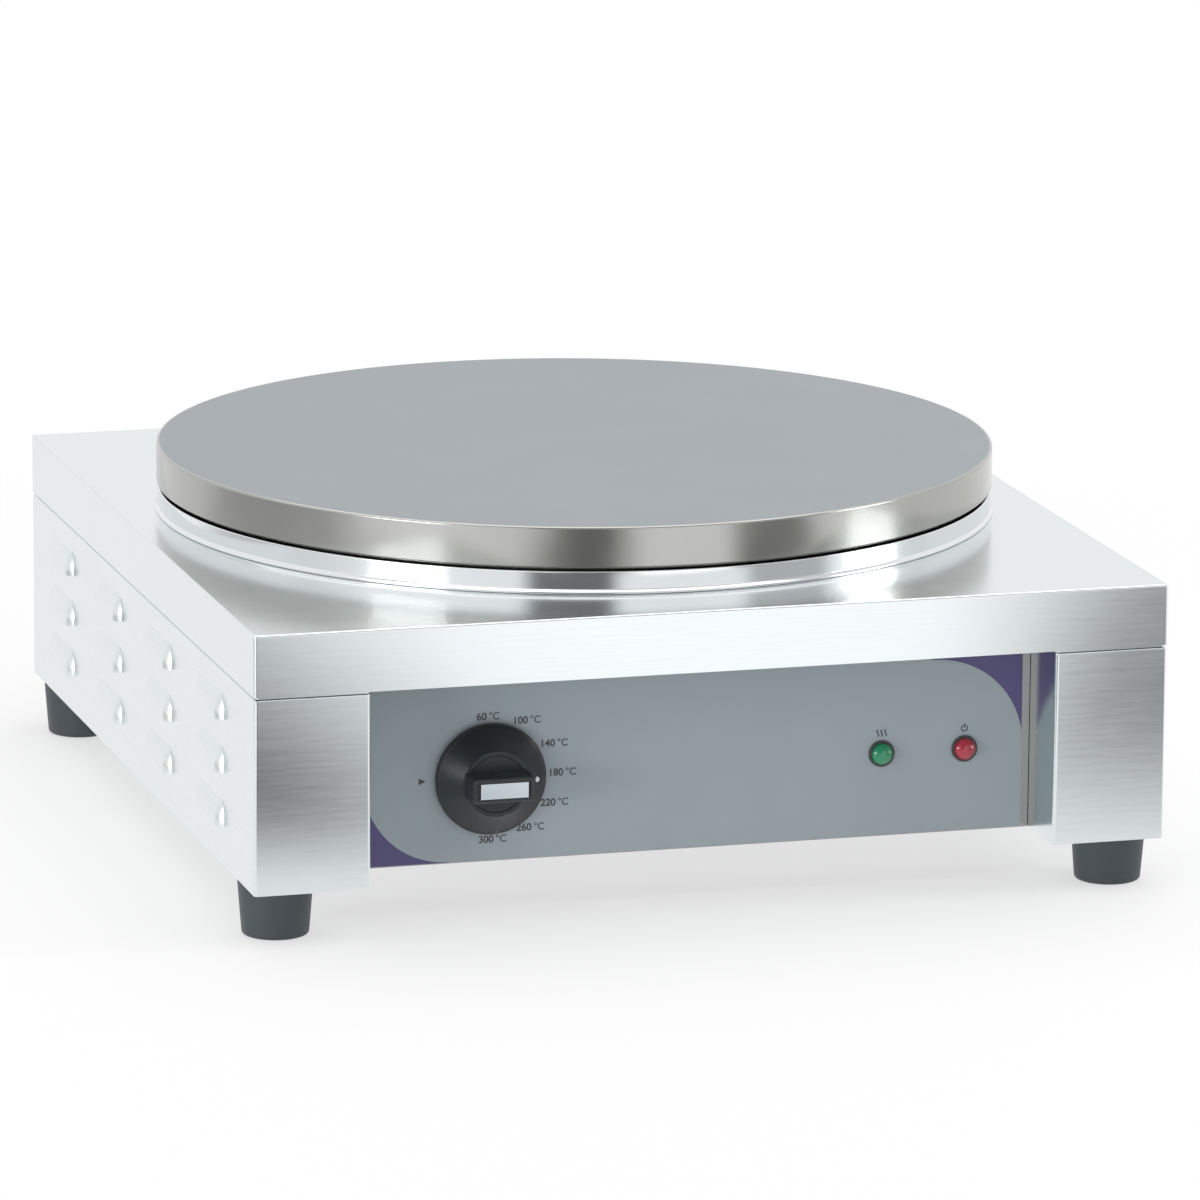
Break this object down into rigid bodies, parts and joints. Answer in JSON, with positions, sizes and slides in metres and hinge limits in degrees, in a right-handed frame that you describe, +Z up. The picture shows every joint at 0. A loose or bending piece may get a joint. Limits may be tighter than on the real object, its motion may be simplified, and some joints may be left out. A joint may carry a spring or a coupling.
{
  "type": "electric crepe maker",
  "caption": "Countertop electric crepe maker: round cast plate on a polished collar over a stainless steel housing, with a turning thermostat knob, dial scale and indicator lamps.",
  "frame": {"origin": "on the floor under the middle of the housing", "axes": "+X to the user's right, +Y to the back, +Z up; the control panel faces -Y"},
  "size_m": [0.4406, 0.46, 0.177],
  "materials": {
    "stainless_brushed": "satin brushed sheet",
    "stainless_polished": "polished",
    "cast_iron_plate": "machined and seasoned",
    "overlay_print": "satin printed film, grey with violet corners",
    "rubber_foot": "matt",
    "knob_black": "fine matt",
    "knob_silver": "satin",
    "pointer_white": "satin",
    "lens_green": "translucent gloss",
    "lens_red": "translucent gloss",
    "lamp_shell": "moulded",
    "spring_clip": "spring steel",
    "zinc_steel": "zinc plated",
    "element_sheath": "dark oxidised",
    "mat_fibre": "soft fibre",
    "thermostat_case": "plain",
    "copper_tube": "drawn",
    "gland_plastic": "moulded",
    "block_ceramic": "moulded",
    "bond_brass": "plain",
    "lead_brown": "silicone sleeve",
    "lead_blue": "silicone sleeve",
    "lead_green": "silicone sleeve"
  },
  "bodies": {
    "chassis": {"top_cover": "stainless_brushed", "left_side_panel": "stainless_brushed", "right_side_panel": "stainless_brushed", "control_panel": "stainless_brushed", "back_panel": "stainless_brushed", "panel_overlay": "overlay_print", "base_plate": "zinc_steel", "front_left_foot": "rubber_foot", "front_right_foot": "rubber_foot", "back_left_foot": "rubber_foot", "back_right_foot": "rubber_foot", "foot_screws": "zinc_steel", "foot_nuts": "zinc_steel", "griddle_plate": "cast_iron_plate", "collar_ring": "stainless_polished", "insulation_pan": "zinc_steel", "insulation_mat": "mat_fibre", "element_plate": "zinc_steel", "outer_element": "element_sheath", "inner_element": "element_sheath", "element_pins": "zinc_steel", "front_bar": "zinc_steel", "rear_bar": "zinc_steel", "left_rail": "zinc_steel", "right_rail": "zinc_steel", "bar_screws": "zinc_steel", "plate_studs": "zinc_steel", "clamp_nuts": "zinc_steel", "stud_nuts": "zinc_steel", "spacer_sleeves": "zinc_steel", "thermostat_body": "thermostat_case", "thermostat_screws": "zinc_steel", "thermostat_bulb": "copper_tube", "bulb_clip": "zinc_steel", "capillary_tube": "copper_tube", "green_lamp_lens": "lens_green", "red_lamp_lens": "lens_red", "green_lamp_body": "lamp_shell", "red_lamp_body": "lamp_shell", "lamp_clips": "spring_clip", "gland_body": "gland_plastic", "gland_cap": "gland_plastic", "gland_locknut": "gland_plastic", "bonding_stud": "bond_brass", "bonding_nuts": "bond_brass", "terminal_block": "block_ceramic", "panel_screws": "zinc_steel", "panel_nuts": "zinc_steel", "base_screws": "zinc_steel", "live_lead": "lead_brown", "heater_lead": "lead_brown", "link_lead": "lead_brown", "neutral_lead": "lead_blue", "red_lamp_lead": "lead_blue", "green_lamp_lead": "lead_brown", "earth_lead": "lead_green"},
    "thermostat_knob": {"knob_body": "knob_black", "knob_insert": "knob_silver", "knob_pointer": "pointer_white", "thermostat_spindle": "zinc_steel"}
  },
  "joints": [
    {"name": "knob_turn", "type": "hinge", "parent": "chassis", "child": "thermostat_knob", "pos_m": [-0.0975, -0.2, 0.0646], "axis": [0, 1, 0], "range_deg": [-180, 90]}
  ]
}
